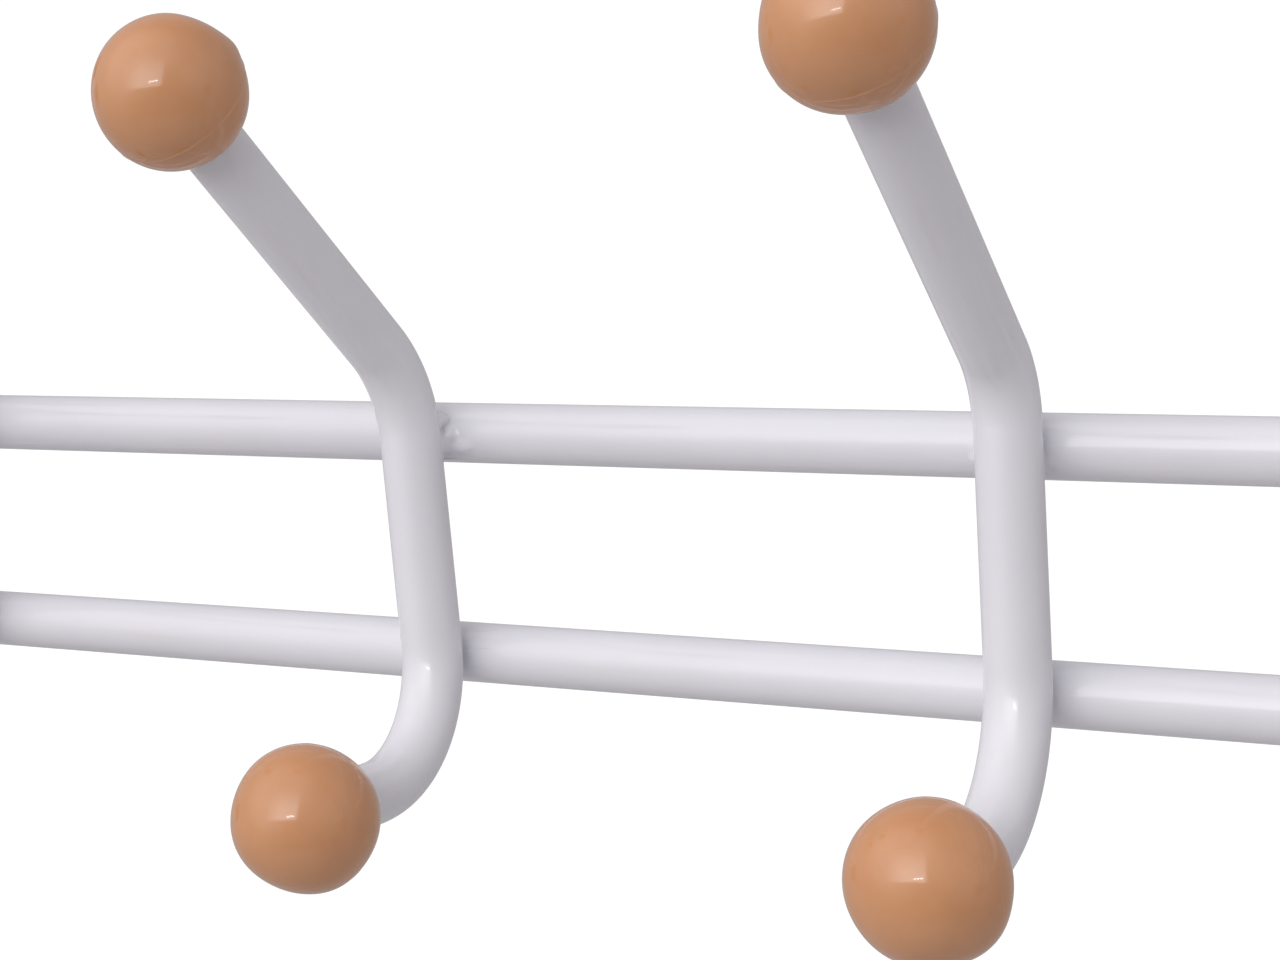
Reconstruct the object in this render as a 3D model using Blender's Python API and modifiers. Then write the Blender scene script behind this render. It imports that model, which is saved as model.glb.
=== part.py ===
"""Standing coat rack: two floor bows, two split posts, two lower brace rails and, at head height,
two hook rails that carry five double hooks of bent tube. Every hook end is closed by a tan ball.

Metres, +Z up. The origin is on the floor, midway between the posts. Hooks reach out towards -Y.
"""

import math
from collections import namedtuple

import bmesh
import bpy
from mathutils import Vector

MM = 0.001

# Driving dimensions, in metres.
GAP = 0.3 * MM                      # clearance between pieces that touch
RACK_HALF_WIDTH = 345 * MM          # post axis to the middle of the rack
UPPER_RAIL_Z = 1.560                # height of the upper hook rail's axis
RAIL_PITCH = 48 * MM                # upper rail axis to lower rail axis
LOWER_BRACE_Z = 0.200               # height of the lower brace rail's axis
POST_TOP_Z = 1.662
POST_SPLIT_Z = 0.870                # where the two halves of a post meet

TUBE_RADIUS = 6.5 * MM              # rails and hooks
TUBE_WALL = 1.2 * MM
POST_RADIUS = 11 * MM               # posts and floor bows
POST_WALL = 1.2 * MM

# Double hooks. Each tube is bent on one of two jigs, which differ a little. Heights are from the upper rail's
# axis: the upright ends and the upper bend begins at bend_start, and the lower crook begins at crook_start.
# Past each bend the tube runs straight, and the lengths are measured from the bend to the ball's centre.
HOOK_PITCH = 133.2 * MM
Jig = namedtuple("Jig", "bend_start bend_radius arm_angle arm_length "
                        "crook_start crook_radius crook_angle tail_length")
FIRST_JIG = Jig(-0.3 * MM, 26.5 * MM, math.radians(49.6), 77.6 * MM,
                -44.2 * MM, 27.3 * MM, math.radians(89.1), 23.5 * MM)
SECOND_JIG = Jig(4.3 * MM, 20.8 * MM, math.radians(47.4), 81.8 * MM,
                 -40.9 * MM, 31.5 * MM, math.radians(95.3), 14.6 * MM)

# Hooks are welded on by hand, so each leans a little in the plane of the rails. + leans its top towards +X.
Hook = namedtuple("Hook", "jig lean")
HOOKS = [
    Hook(SECOND_JIG, math.radians(-1.0)),
    Hook(FIRST_JIG, math.radians(-5.3)),
    Hook(SECOND_JIG, math.radians(-2.3)),
    Hook(FIRST_JIG, math.radians(0.8)),
    Hook(SECOND_JIG, math.radians(-0.6)),
]

BALL_RADIUS = 14.75 * MM
BALL_SOCKET_FLOOR = 1 * MM          # beyond the ball's centre
HOOK_END_SETBACK = 2 * MM           # the tube ends this far before the ball's centre
FINIAL_RADIUS = 20 * MM
FINIAL_STEM = 22 * MM

WELD_BEAD = Vector((2.5, 2.5, 3.6)) * MM    # half sizes of a weld bead
WELD_BEAD_X = 5.7 * MM                      # bead centre from the hook's axis
WELD_BEAD_Y = 5.2 * MM                      # bead centre behind the hook's axis

BOW_HALF_DEPTH = 190 * MM           # floor bow, leg axis to the middle
BOW_Z = 72 * MM                     # height of the bow's axis
BOW_BEND_RADIUS = 45 * MM
CAP_RADIUS = 13.5 * MM
CAP_HEIGHT = 20 * MM
CAP_FLOOR = 4 * MM
CAP_CHAMFER = 1.5 * MM
SOCKET_RADIUS = 13.2 * MM           # welded collar that the post stands in
SOCKET_BORE = 11.5 * MM
SOCKET_TOP_Z = 130 * MM
SOCKET_BOTTOM_Z = BOW_Z + 4 * MM

SLEEVE_HALF_LENGTH = 55 * MM
SLEEVE_WALL = 1.2 * MM

INSERT_LENGTH = 15 * MM             # threaded plug inside each rail end
INSERT_SETBACK = 14 * MM            # from the post's axis to the plug's near face
INSERT_BORE = 3.2 * MM
BOLT_RADIUS = 2.9 * MM
BOLT_LENGTH = 37 * MM
BOLT_HEAD_RADIUS = 5.6 * MM
BOLT_HEAD_HEIGHT = 3.4 * MM
BOLT_HOLE = 3.3 * MM
SCREW_RADIUS = 2.4 * MM
SCREW_LENGTH = 6.5 * MM
SCREW_HEAD_RADIUS = 4.4 * MM
SCREW_HEAD_HEIGHT = 2.4 * MM
SCREW_HOLE = 2.8 * MM
HEX_KEY_SHARE = 0.42                # hexagon socket's radius over the head's
HEAD_EDGE_SHARE = 0.35              # straight edge of a screw head over its height

TUBE_SIDES = 20
SMALL_SIDES = 10
HEAD_RINGS = 2
BALL_SIDES = 14
BALL_RINGS = 7
BEND_STEP = math.radians(16)        # one path point at least every 16 degrees of bend
WELD_BEAD_SIDES = 6
WELD_BEAD_RINGS = 4
SHARP_ANGLE = math.radians(35)      # edges sharper than this aren't shaded smooth
MERGE = 1e-5                        # merge distance of every modifier that merges
OVERCUT = 5 * MM                    # how far a cutter passes the wall it cuts

SIDES = {"left": -1, "right": 1}


# ---------------------------------------------------------------- scene helpers

def clear_scene():
    for item in list(bpy.data.objects):
        bpy.data.objects.remove(item)


def new_collection(name):
    made = bpy.data.collections.new(name)
    bpy.context.scene.collection.children.link(made)
    return made


def new_material(name, colour, roughness, metallic=0.0):
    made = bpy.data.materials.new(name)
    made.use_nodes = True
    shader = made.node_tree.nodes["Principled BSDF"]
    shader.inputs["Base Color"].default_value = (*colour, 1)
    shader.inputs["Roughness"].default_value = roughness
    shader.inputs["Metallic"].default_value = metallic
    return made


def place(name, data, material=None, location=(0, 0, 0), rotation=(0, 0, 0), parent=None):
    """A visible part of the rack: one object, one node."""
    made = bpy.data.objects.new(name, data)
    made.location = location
    made.rotation_euler = rotation
    made.parent = parent
    if material:
        data.materials.clear()
        data.materials.append(material)
    PARTS.objects.link(made)
    return made


def place_cutter(name, data, location=(0, 0, 0), rotation=(0, 0, 0), parent=None):
    """A helper solid that other pieces are cut with or joined to. It is never rendered."""
    made = place(name, data, None, location, rotation, parent)
    PARTS.objects.unlink(made)
    CUTTERS.objects.link(made)
    made.hide_render = True
    made.display_type = "WIRE"
    return made


def new_empty(name, location=(0, 0, 0), rotation=(0, 0, 0), parent=None):
    return place(name, None, None, location, rotation, parent)


def boolean(piece, other, operation="DIFFERENCE"):
    modifier = piece.modifiers.new(operation.title(), "BOOLEAN")
    modifier.operation = operation
    modifier.object = other


def mesh_of(piece):
    """The evaluated mesh of an object, with its modifiers applied. The object is removed."""
    bpy.context.view_layer.update()
    graph = bpy.context.evaluated_depsgraph_get()
    mesh = bpy.data.meshes.new_from_object(piece.evaluated_get(graph), depsgraph=graph)
    bpy.data.objects.remove(piece)
    mesh.shade_smooth()
    mesh.set_sharp_from_angle(angle=SHARP_ANGLE)
    return mesh


# ---------------------------------------------------------------- shape helpers

def turned(name, profile, sides, closed=False):
    """Mesh of a profile of (radius, height) points turned about Z. The outer side runs from top to bottom."""
    outline = bpy.data.meshes.new(name)
    count = len(profile)
    edges = [(i, i + 1) for i in range(count - 1)]
    if closed:
        edges.append((count - 1, 0))
    outline.from_pydata([(radius, 0, height) for radius, height in profile], edges, [])
    piece = place(name + "_profile", outline)
    screw = piece.modifiers.new("Turn", "SCREW")
    screw.steps = sides
    screw.render_steps = sides
    screw.use_merge_vertices = True
    screw.merge_threshold = MERGE
    return mesh_of(piece)


def ring(name, outer, inner, bottom, top, sides):
    """Mesh of a straight tube about Z."""
    profile = [(outer, top), (outer, bottom), (inner, bottom), (inner, top)]
    return turned(name, profile, sides, closed=True)


def rod(name, radius, bottom, top, sides):
    """Mesh of a solid cylinder about Z."""
    mesh = bpy.data.meshes.new(name)
    shape = bmesh.new()
    bmesh.ops.create_cone(shape, cap_ends=True, segments=sides, radius1=radius, radius2=radius,
                          depth=top - bottom)
    bmesh.ops.translate(shape, verts=shape.verts, vec=(0, 0, (top + bottom) / 2))
    shape.to_mesh(mesh)
    shape.free()
    return mesh


def bent_tube(name, points, radius, wall):
    """Mesh of an open-ended tube along a path: a bevelled curve, thickened inwards."""
    curve = bpy.data.curves.new(name, "CURVE")
    curve.dimensions = "3D"
    curve.bevel_depth = radius
    curve.bevel_resolution = 4
    spline = curve.splines.new("POLY")
    spline.points.add(len(points) - 1)
    for point, place_at in zip(spline.points, points):
        point.co = (*place_at, 1)
    piece = place(name + "_path", curve)
    weld = piece.modifiers.new("Weld", "WELD")
    weld.merge_threshold = MERGE
    shell = piece.modifiers.new("Wall", "SOLIDIFY")
    shell.thickness = wall
    shell.offset = -1
    shell.use_even_offset = True
    return mesh_of(piece)


def arc(centre, radius, start, end):
    """(y, z) points of an arc, from angle start to angle end, both included."""
    count = max(2, math.ceil(abs(end - start) / BEND_STEP))
    angles = [start + (end - start) * i / count for i in range(count + 1)]
    return [(centre[0] + radius * math.cos(a), centre[1] + radius * math.sin(a)) for a in angles]


# ---------------------------------------------------------------- hooks and balls

def hook_ends(jig):
    """Centres of the upper and lower ball as (y, z), with the direction each arm points in."""
    arm = (-math.sin(jig.arm_angle), math.cos(jig.arm_angle))
    upper = (jig.bend_radius * (math.cos(jig.arm_angle) - 1) + jig.arm_length * arm[0],
             jig.bend_start + jig.bend_radius * math.sin(jig.arm_angle) + jig.arm_length * arm[1])
    tail = (-math.sin(jig.crook_angle), -math.cos(jig.crook_angle))
    lower = (jig.crook_radius * (math.cos(jig.crook_angle) - 1) + jig.tail_length * tail[0],
             jig.crook_start - jig.crook_radius * math.sin(jig.crook_angle) + jig.tail_length * tail[1])
    return (upper, arm), (lower, tail)


def hook_path(jig):
    """Axis of a hook, upper end first, as (x, y, z) points about the height of the upper rail."""
    (upper, arm), (lower, tail) = hook_ends(jig)
    bend = arc((-jig.bend_radius, jig.bend_start), jig.bend_radius, jig.arm_angle, 0)
    crook = arc((-jig.crook_radius, jig.crook_start), jig.crook_radius, 0, -jig.crook_angle)
    first = (upper[0] - HOOK_END_SETBACK * arm[0], upper[1] - HOOK_END_SETBACK * arm[1])
    last = (lower[0] - HOOK_END_SETBACK * tail[0], lower[1] - HOOK_END_SETBACK * tail[1])
    return [(0, y, z) for y, z in [first, *bend, *crook, last]]


def ball_mesh():
    """Ball with a blind socket that opens downwards, turned about Z through the ball's centre."""
    socket = TUBE_RADIUS + GAP
    rim = math.acos(-math.sqrt(BALL_RADIUS ** 2 - socket ** 2) / BALL_RADIUS)
    angles = [rim * i / BALL_RINGS for i in range(BALL_RINGS + 1)]
    profile = [(BALL_RADIUS * math.sin(a), BALL_RADIUS * math.cos(a)) for a in angles]
    profile += [(socket, BALL_SOCKET_FLOOR), (0, BALL_SOCKET_FLOOR)]
    return turned("ball", profile, BALL_SIDES)


def weld_beads(name, parent):
    """Four beads, one on each side of the upright where it crosses each rail, as one helper mesh."""
    mesh = bpy.data.meshes.new(name)
    shape = bmesh.new()
    for height in (0, -RAIL_PITCH):
        for side in (-1, 1):
            made = bmesh.ops.create_uvsphere(shape, u_segments=WELD_BEAD_SIDES, v_segments=WELD_BEAD_RINGS,
                                                 radius=1)
            bmesh.ops.scale(shape, verts=made["verts"], vec=WELD_BEAD)
            centre = (side * WELD_BEAD_X, WELD_BEAD_Y, height)
            bmesh.ops.translate(shape, verts=made["verts"], vec=centre)
    shape.to_mesh(mesh)
    shape.free()
    return place_cutter(name, mesh, parent=parent)


def make_hooks(panel, ball, rail_cutters):
    """The double hooks, each a bent tube with its weld beads, and two balls a hook."""
    for number, hook in enumerate(HOOKS, 1):
        across = (number - (len(HOOKS) + 1) / 2) * HOOK_PITCH
        # The pivot is midway between the rails, so that a lean turns the hook about its own middle.
        pivot = new_empty(f"hook_{number}_pivot", (across, -(2 * TUBE_RADIUS + GAP), -RAIL_PITCH / 2),
                          (0, hook.lean, 0), panel)
        frame = new_empty(f"hook_{number}_frame", (0, 0, RAIL_PITCH / 2), parent=pivot)
        tube = place(f"hook_{number}", bent_tube("hook", hook_path(hook.jig), TUBE_RADIUS, TUBE_WALL),
                     WHITE_COAT, parent=frame)
        boolean(tube, weld_beads(f"weld_beads_{number}", frame), "UNION")
        for cutter in rail_cutters:
            boolean(tube, cutter)
        for level, ((y, z), direction) in zip(("upper", "lower"), hook_ends(hook.jig)):
            tilt = math.atan2(-direction[0], direction[1])
            place(f"{level}_ball_{number}", ball, BALL_PLASTIC, (0, y, z), (tilt, 0, 0), frame)


# ---------------------------------------------------------------- rails, bolts and plugs

def cross_cutter(name, radius, half_length, location, along, sides=TUBE_SIDES):
    """A cylinder cutter along X or Y."""
    rotation = (0, math.pi / 2, 0) if along == "X" else (math.pi / 2, 0, 0)
    return place_cutter(name, rod(name, radius, -half_length, half_length, sides), location, rotation)


def make_rail(name, height, post_cutters):
    """Straight tube between the posts, its ends cut to saddle them."""
    half_length = RACK_HALF_WIDTH - POST_RADIUS + OVERCUT
    mesh = ring(name, TUBE_RADIUS, TUBE_RADIUS - TUBE_WALL, -half_length, half_length, TUBE_SIDES)
    rail = place(name, mesh, WHITE_COAT, (0, 0, height), (0, math.pi / 2, 0), ROOT)
    for cutter in post_cutters:
        boolean(rail, cutter)
    return rail


def screw_mesh(name, shank_radius, length, head_radius, head_height):
    """Round-headed screw along Z, its head's underside at height 0, with a hexagon socket in the head."""
    edge = head_height * HEAD_EDGE_SHARE
    angles = [math.pi / 2 * i / HEAD_RINGS for i in range(HEAD_RINGS, -1, -1)]
    profile = [(head_radius * math.cos(a), edge + (head_height - edge) * math.sin(a)) for a in angles]
    profile += [(head_radius, 0), (shank_radius, 0), (shank_radius, -length), (0, -length)]
    piece = place(name, turned(name, profile, SMALL_SIDES))
    key = rod(name + "_key", head_radius * HEX_KEY_SHARE, edge, head_height + OVERCUT, 6)
    cutter = place_cutter(name + "_key", key)
    boolean(piece, cutter)
    mesh = mesh_of(piece)
    bpy.data.objects.remove(cutter)
    return mesh


def make_rail_fixings(rail_names_and_heights, bolt):
    """A threaded plug in each rail end and a bolt through the post into it."""
    plug = ring("rail_plug", TUBE_RADIUS - TUBE_WALL - GAP, INSERT_BORE, 0, INSERT_LENGTH, SMALL_SIDES)
    for rail_name, height in rail_names_and_heights:
        for side, sign in SIDES.items():
            outwards = (0, sign * math.pi / 2, 0)
            plug_x = sign * (RACK_HALF_WIDTH - INSERT_SETBACK - INSERT_LENGTH)
            place(f"{rail_name}_plug_{side}", plug, PLATED_STEEL, (plug_x, 0, height), outwards, ROOT)
            head_x = sign * (RACK_HALF_WIDTH + POST_RADIUS + GAP)
            place(f"{rail_name}_bolt_{side}", bolt, PLATED_STEEL, (head_x, 0, height), outwards, ROOT)


# ---------------------------------------------------------------- posts and floor bows

def make_post(side, sign, rail_heights, screw):
    """Two post halves on an inner sleeve, with a set screw, and a ball finial on top."""
    post_x = sign * RACK_HALF_WIDTH
    post_foot = BOW_Z + POST_RADIUS + GAP
    lower_mesh = ring("post_lower", POST_RADIUS, POST_RADIUS - POST_WALL, post_foot,
                      POST_SPLIT_Z - GAP / 2, TUBE_SIDES)
    upper_mesh = ring("post_upper", POST_RADIUS, POST_RADIUS - POST_WALL, POST_SPLIT_Z + GAP / 2,
                      POST_TOP_Z, TUBE_SIDES)
    lower = place(f"post_lower_{side}", lower_mesh, WHITE_COAT, (post_x, 0, 0), parent=ROOT)
    upper = place(f"post_upper_{side}", upper_mesh, WHITE_COAT, (post_x, 0, 0), parent=ROOT)
    for height in rail_heights:
        half = lower if height < POST_SPLIT_Z else upper
        hole = cross_cutter(f"bolt_hole_{side}_{height:.3f}", BOLT_HOLE, POST_RADIUS + OVERCUT,
                            (post_x, 0, height), "X", SMALL_SIDES)
        boolean(half, hole)

    sleeve_radius = POST_RADIUS - POST_WALL - GAP
    sleeve_mesh = ring("sleeve", sleeve_radius, sleeve_radius - SLEEVE_WALL, -SLEEVE_HALF_LENGTH,
                       SLEEVE_HALF_LENGTH, TUBE_SIDES)
    sleeve = place(f"post_sleeve_{side}", sleeve_mesh, PLATED_STEEL, (post_x, 0, POST_SPLIT_Z), parent=ROOT)
    screw_z = POST_SPLIT_Z + SLEEVE_HALF_LENGTH / 2
    side_hole = cross_cutter(f"sleeve_hole_{side}", SCREW_HOLE, POST_RADIUS,
                             (post_x + sign * POST_RADIUS, 0, screw_z), "X", SMALL_SIDES)
    boolean(upper, side_hole)
    boolean(sleeve, side_hole)
    head_x = post_x + sign * (POST_RADIUS + GAP)
    place(f"sleeve_screw_{side}", screw, PLATED_STEEL, (head_x, 0, screw_z),
          (0, sign * math.pi / 2, 0), ROOT)
    return lower


def finial_mesh():
    """Ball on a short stem that plugs the post, turned about Z with the post's rim at height 0."""
    stem = POST_RADIUS - POST_WALL - GAP
    centre = GAP + math.sqrt(FINIAL_RADIUS ** 2 - POST_RADIUS ** 2)
    seat = math.acos((GAP - centre) / FINIAL_RADIUS)
    angles = [seat * i / BALL_RINGS for i in range(BALL_RINGS + 1)]
    profile = [(FINIAL_RADIUS * math.sin(a), centre + FINIAL_RADIUS * math.cos(a)) for a in angles]
    profile += [(stem, GAP), (stem, -FINIAL_STEM), (0, -FINIAL_STEM)]
    return turned("finial", profile, BALL_SIDES)


def bow_path():
    """Axis of a floor bow: up from one cap, over and down to the other, as (x, y, z) points."""
    flat = BOW_HALF_DEPTH - BOW_BEND_RADIUS
    low = BOW_Z - BOW_BEND_RADIUS
    foot = CAP_FLOOR + GAP
    front = arc((-flat, low), BOW_BEND_RADIUS, math.pi, math.pi / 2)
    back = arc((flat, low), BOW_BEND_RADIUS, math.pi / 2, 0)
    points = [(-BOW_HALF_DEPTH, foot), *front, *back, (BOW_HALF_DEPTH, foot)]
    return [(0, y, z) for y, z in points]


def cap_mesh():
    """Cup that closes a bow's leg and stands on the floor."""
    bore = POST_RADIUS + GAP
    profile = [(0, CAP_FLOOR), (bore, CAP_FLOOR), (bore, CAP_HEIGHT), (CAP_RADIUS, CAP_HEIGHT),
               (CAP_RADIUS, CAP_CHAMFER), (CAP_RADIUS - CAP_CHAMFER, 0), (0, 0)]
    return turned("cap", profile, TUBE_SIDES)


def make_foot(side, sign, cap, screw, post):
    """Floor bow with a cap on each leg and a welded collar that holds the post with a set screw."""
    x = sign * RACK_HALF_WIDTH
    place(f"floor_bow_{side}", bent_tube("bow", bow_path(), POST_RADIUS, POST_WALL), WHITE_COAT,
          (x, 0, 0), parent=ROOT)
    for end, y in (("front", -BOW_HALF_DEPTH), ("back", BOW_HALF_DEPTH)):
        place(f"floor_cap_{end}_{side}", cap, CAP_PLASTIC, (x, y, 0), parent=ROOT)

    collar_mesh = ring("collar", SOCKET_RADIUS, SOCKET_BORE, SOCKET_BOTTOM_Z, SOCKET_TOP_Z, TUBE_SIDES)
    collar = place(f"post_collar_{side}", collar_mesh, WHITE_COAT, (x, 0, 0), parent=ROOT)
    bow_cutter = cross_cutter(f"bow_cutter_{side}", POST_RADIUS + GAP, SOCKET_RADIUS + OVERCUT,
                              (x, 0, BOW_Z), "Y")
    boolean(collar, bow_cutter)
    screw_z = (SOCKET_TOP_Z + BOW_Z + POST_RADIUS) / 2
    hole = cross_cutter(f"collar_hole_{side}", SCREW_HOLE, POST_RADIUS,
                        (x + sign * POST_RADIUS, 0, screw_z), "X", SMALL_SIDES)
    boolean(collar, hole)
    boolean(post, hole)
    place(f"collar_screw_{side}", screw, PLATED_STEEL, (x + sign * (SOCKET_RADIUS + GAP), 0, screw_z),
          (0, sign * math.pi / 2, 0), ROOT)


# ---------------------------------------------------------------- the rack

clear_scene()
PARTS = new_collection("standing_coat_rack")
CUTTERS = new_collection("cutters")
WHITE_COAT = new_material("white_powder_coat", (0.80, 0.79, 0.82), 0.32)
BALL_PLASTIC = new_material("tan_ball_plastic", (0.58, 0.27, 0.13), 0.38)
CAP_PLASTIC = new_material("cap_plastic", (0.72, 0.71, 0.72), 0.55)
PLATED_STEEL = new_material("plated_steel", (0.62, 0.62, 0.63), 0.30, 1.0)
ROOT = new_empty("rack_root")


def make_rack():
    rails = {
        "upper_hook_rail": UPPER_RAIL_Z,
        "lower_hook_rail": UPPER_RAIL_Z - RAIL_PITCH,
        "upper_brace_rail": LOWER_BRACE_Z + RAIL_PITCH,
        "lower_brace_rail": LOWER_BRACE_Z,
    }
    post_cutters = [
        place_cutter(f"post_cutter_{side}", rod("post_cutter", POST_RADIUS + GAP, 0, POST_TOP_Z, TUBE_SIDES),
                     (sign * RACK_HALF_WIDTH, 0, 0))
        for side, sign in SIDES.items()
    ]
    for name, height in rails.items():
        make_rail(name, height, post_cutters)

    rail_cutters = [
        cross_cutter(f"{name}_cutter", TUBE_RADIUS + GAP, RACK_HALF_WIDTH, (0, 0, rails[name]), "X")
        for name in ("upper_hook_rail", "lower_hook_rail")
    ]
    panel = new_empty("hook_panel", (0, 0, UPPER_RAIL_Z), parent=ROOT)
    make_hooks(panel, ball_mesh(), rail_cutters)

    bolt = screw_mesh("rail_bolt", BOLT_RADIUS, BOLT_LENGTH, BOLT_HEAD_RADIUS, BOLT_HEAD_HEIGHT)
    make_rail_fixings(rails.items(), bolt)

    screw = screw_mesh("set_screw", SCREW_RADIUS, SCREW_LENGTH, SCREW_HEAD_RADIUS, SCREW_HEAD_HEIGHT)
    cap = cap_mesh()
    finial = finial_mesh()
    for side, sign in SIDES.items():
        lower_post = make_post(side, sign, rails.values(), screw)
        make_foot(side, sign, cap, screw, lower_post)
        place(f"post_finial_{side}", finial, BALL_PLASTIC, (sign * RACK_HALF_WIDTH, 0, POST_TOP_Z),
              parent=ROOT)


make_rack()
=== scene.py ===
"""Looks of the standing coat rack: fine surfaces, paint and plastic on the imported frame.

Metres, +Z up, in the CAD model's frame: floor at Z = 0, hooks reaching out towards -Y.
"""

import math
from collections import namedtuple

import bmesh
import bpy
from mathutils import Matrix, Quaternion, Vector, noise


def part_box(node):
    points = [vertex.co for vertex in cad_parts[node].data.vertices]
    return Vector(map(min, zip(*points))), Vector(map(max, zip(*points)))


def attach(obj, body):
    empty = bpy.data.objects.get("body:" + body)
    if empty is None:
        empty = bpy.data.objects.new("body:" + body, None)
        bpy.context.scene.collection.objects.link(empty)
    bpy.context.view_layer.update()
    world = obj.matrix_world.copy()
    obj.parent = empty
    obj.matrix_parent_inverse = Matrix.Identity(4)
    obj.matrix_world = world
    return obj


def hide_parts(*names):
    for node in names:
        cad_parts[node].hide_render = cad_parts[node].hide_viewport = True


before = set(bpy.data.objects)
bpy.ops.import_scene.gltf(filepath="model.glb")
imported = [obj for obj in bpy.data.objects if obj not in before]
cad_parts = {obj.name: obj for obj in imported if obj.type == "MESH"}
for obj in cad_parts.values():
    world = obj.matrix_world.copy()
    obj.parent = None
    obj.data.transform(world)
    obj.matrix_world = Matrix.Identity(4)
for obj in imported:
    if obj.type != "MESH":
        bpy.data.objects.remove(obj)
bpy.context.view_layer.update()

MM = 0.001
BODY = "root"


# ---------------------------------------------------------------- sizes read from the frame

def centre(node):
    low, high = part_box(node)
    return (low + high) / 2


def extent(node):
    low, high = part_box(node)
    return high - low


UPPER_RAIL_Z = centre("upper_hook_rail").z
RAIL_PITCH = UPPER_RAIL_Z - centre("lower_hook_rail").z
TUBE_RADIUS = extent("upper_hook_rail").z / 2
POST_X = centre("post_upper_right").x
POST_RADIUS = extent("post_upper_right").x / 2
POST_TOP_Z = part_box("post_upper_right")[1].z
POST_SPLIT_Z = centre("post_sleeve_right").z
POST_FOOT_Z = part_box("post_lower_right")[0].z
BOW_LEG_Y = centre("floor_cap_back_right").y
COLLAR_RADIUS = extent("post_collar_right").x / 2
COLLAR_LOW_Z, COLLAR_TOP_Z = (corner.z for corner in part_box("post_collar_right"))
FINIAL_RADIUS = extent("post_finial_right").x / 2
CAP_RADIUS = extent("floor_cap_back_right").x / 2
CAP_HEIGHT = extent("floor_cap_back_right").z

# ---------------------------------------------------------------- shapes shared with the CAD model

GAP = 0.3 * MM                      # between neighbouring pieces
TUBE_WALL = 1.2 * MM
BALL_RADIUS = 14.75 * MM
BOW_Z = POST_FOOT_Z - POST_RADIUS - GAP
BOW_BEND_RADIUS = 45 * MM
COLLAR_BORE = 11.5 * MM
CAP_FLOOR = 4 * MM

HOOK_PITCH = 133.2 * MM
HOOK_END_SETBACK = 2 * MM           # a hook's tube stops this short of its ball's middle
RAIL_BEHIND_HOOK = 2 * TUBE_RADIUS + GAP

Jig = namedtuple("Jig", "bend_start bend_radius arm_angle arm_length "
                        "crook_start crook_radius crook_angle tail_length")
FIRST_JIG = Jig(-0.3 * MM, 26.5 * MM, math.radians(49.6), 77.6 * MM,
                -44.2 * MM, 27.3 * MM, math.radians(89.1), 23.5 * MM)
SECOND_JIG = Jig(4.3 * MM, 20.8 * MM, math.radians(47.4), 81.8 * MM,
                 -40.9 * MM, 31.5 * MM, math.radians(95.3), 14.6 * MM)
Hook = namedtuple("Hook", "jig lean")
HOOKS = [
    Hook(SECOND_JIG, math.radians(-1.0)),
    Hook(FIRST_JIG, math.radians(-5.3)),
    Hook(SECOND_JIG, math.radians(-2.3)),
    Hook(FIRST_JIG, math.radians(0.8)),
    Hook(SECOND_JIG, math.radians(-0.6)),
]

# ---------------------------------------------------------------- fine shapes of this file

TUBE_SIDES = 72
BALL_SIDES = 128
BALL_STEPS = 56                     # from a ball's outer pole to its socket
SMALL_SIDES = 48
CORNER_STEPS = 5                    # round a rounded corner
BEND_STEP = math.radians(2.5)
STRAIGHT_STEP = 4 * MM
SHARP_ANGLE = math.radians(30)      # edges sharper than this aren't shaded smooth

OPEN_DEPTH = 14 * MM                # how far an open tube end is hollow
BEND_OVAL = 0.02                    # a bent tube is this much wider across the bend, and thinner in it
SEAT_GAP = 0.1 * MM                 # between a piece's end and the tube that it meets
POST_RIM = 0.45 * MM                # height of the eased rim at a post's ends

PARTING_OFFSET = -3.3 * MM          # parting line of a ball, from its equator towards its socket
PARTING_HEIGHT = 0.09 * MM
LOWER_PARTING_HEIGHT = 0.04 * MM    # the lower balls' mould closes better
PARTING_WIDTH = 0.14 * MM
PARTING_STEPS = 6                   # half widths of the line that fine steps cover, each side of it
PARTING_CLEAR = 3.4                 # widths of the line that coarse steps keep away from it
SOCKET_FLOOR = 1 * MM               # from the ball's middle, towards its outer pole
SOCKET_CLEARANCE = 0.12 * MM
SOCKET_CHAMFER = 0.45 * MM
BALL_OUTSIDE = BALL_RADIUS * 0.97   # only the points beyond this are made uneven
BALL_UNEVENNESS = 0.25 * MM
BALL_WAVES = 1.2                    # waves of the unevenness in one radius

FINIAL_SEAT_RADIUS = POST_RADIUS * 0.97
FINIAL_STEM_LENGTH = 20 * MM
FINIAL_STEM_CHAMFER = 2 * MM

CAP_GROOVES = [15.5 * MM, 12.5 * MM, 9.5 * MM]     # heights of the grip grooves
CAP_GROOVE_DEPTH = 0.5 * MM
CAP_GROOVE_WIDTH = 1.4 * MM         # at its mouth, and half of it at its floor
CAP_CHAMFER = 0.5 * MM
CAP_MOUTH_ROUND = 0.8 * MM
CAP_FOOT_ROUND = 1.5 * MM

COLLAR_RIM = 0.6 * MM
COLLAR_BEAD_RADIUS = 1.7 * MM
COLLAR_BEAD_SIDES = 10
COLLAR_BEAD_UNEVENNESS = 0.25       # share of its radius
COLLAR_BEAD_WAVES = 5               # waves of the unevenness in one radius of the collar

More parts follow.
